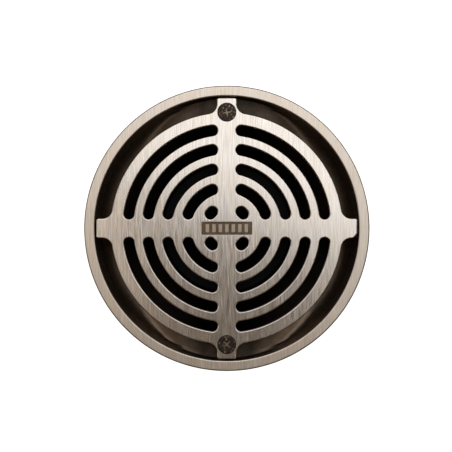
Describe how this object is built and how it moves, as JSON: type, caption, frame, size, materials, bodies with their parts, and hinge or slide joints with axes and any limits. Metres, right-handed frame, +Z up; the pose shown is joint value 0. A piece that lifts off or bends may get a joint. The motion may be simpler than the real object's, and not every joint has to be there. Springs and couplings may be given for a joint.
{
  "type": "floor drain grate",
  "caption": "Round floor drain grate in linished nickel bronze: slotted disc on four tabs in a bowl-shaped frame with a threaded neck, lock ring and lift-out trap.",
  "frame": {"origin": "middle of the neck's lower end, which is also the middle of the box's underside", "axes": "+Z up through the neck to the walking surface; +Y towards one screwed tab, +X towards the tab with the ground corner"},
  "size_m": [0.15, 0.15, 0.084],
  "materials": {
    "linished_bronze": "nickel bronze, linished with straight lines",
    "cast_bronze": "nickel bronze, linished rim over an as-cast bowl and neck",
    "dark_screw": "darkened stainless steel",
    "brass": "cast and turned",
    "black_rubber": "moulded",
    "white_polythene": "moulded",
    "black_polypropylene": "moulded, fine grain"
  },
  "bodies": {
    "frame": {"frame": "cast_bronze", "seal_washer": "black_rubber"},
    "grate": {"grate": "linished_bronze"},
    "captive_ring_north": {"captive_ring_north": "white_polythene"},
    "captive_ring_south": {"captive_ring_south": "white_polythene"},
    "screw_north": {"screw_north": "dark_screw"},
    "screw_south": {"screw_south": "dark_screw"},
    "slip_washer": {"slip_washer": "white_polythene"},
    "lock_ring": {"lock_ring": "brass"},
    "trap": {"trap_funnel": "black_polypropylene", "trap_seal": "black_rubber"},
    "trap_cup": {"trap_cup": "black_polypropylene"}
  },
  "joints": [
    {"name": "grate_lift", "type": "slide", "parent": "frame", "child": "grate", "axis": [0, 0, 1], "range_m": [0, 0.04]},
    {"name": "screw_north_rise", "type": "slide", "parent": "grate", "child": "captive_ring_north", "axis": [0, 0, 1], "range_m": [0, 0.005]},
    {"name": "screw_north_turn", "type": "hinge", "parent": "captive_ring_north", "child": "screw_north", "pos_m": [0, 0.061, 0.0757], "axis": [0, 0, 1], "range_deg": [0, 2251]},
    {"name": "screw_south_rise", "type": "slide", "parent": "grate", "child": "captive_ring_south", "axis": [0, 0, 1], "range_m": [0, 0.005]},
    {"name": "screw_south_turn", "type": "hinge", "parent": "captive_ring_south", "child": "screw_south", "pos_m": [0, -0.061, 0.0757], "axis": [0, 0, 1], "range_deg": [0, 2251]},
    {"name": "lock_ring_travel", "type": "slide", "parent": "frame", "child": "slip_washer", "axis": [0, 0, -1], "range_m": [0, 0.018]},
    {"name": "lock_ring_turn", "type": "hinge", "parent": "slip_washer", "child": "lock_ring", "pos_m": [0, 0, 0.0425], "axis": [0, 0, -1], "range_deg": [0, 2808]},
    {"name": "trap_lift", "type": "slide", "parent": "frame", "child": "trap", "axis": [0, 0, 1], "range_m": [0, 0.018]},
    {"name": "cup_twist", "type": "hinge", "parent": "trap", "child": "trap_cup", "pos_m": [0, 0, 0.04], "axis": [0, 0, 1], "range_deg": [0, 60]}
  ],
  "couplings": [
    {"joint": "screw_north_turn", "follows": "screw_north_rise", "rad_per_m": 7854},
    {"joint": "screw_south_turn", "follows": "screw_south_rise", "rad_per_m": 7854},
    {"joint": "lock_ring_turn", "follows": "lock_ring_travel", "rad_per_m": 2721.2}
  ]
}
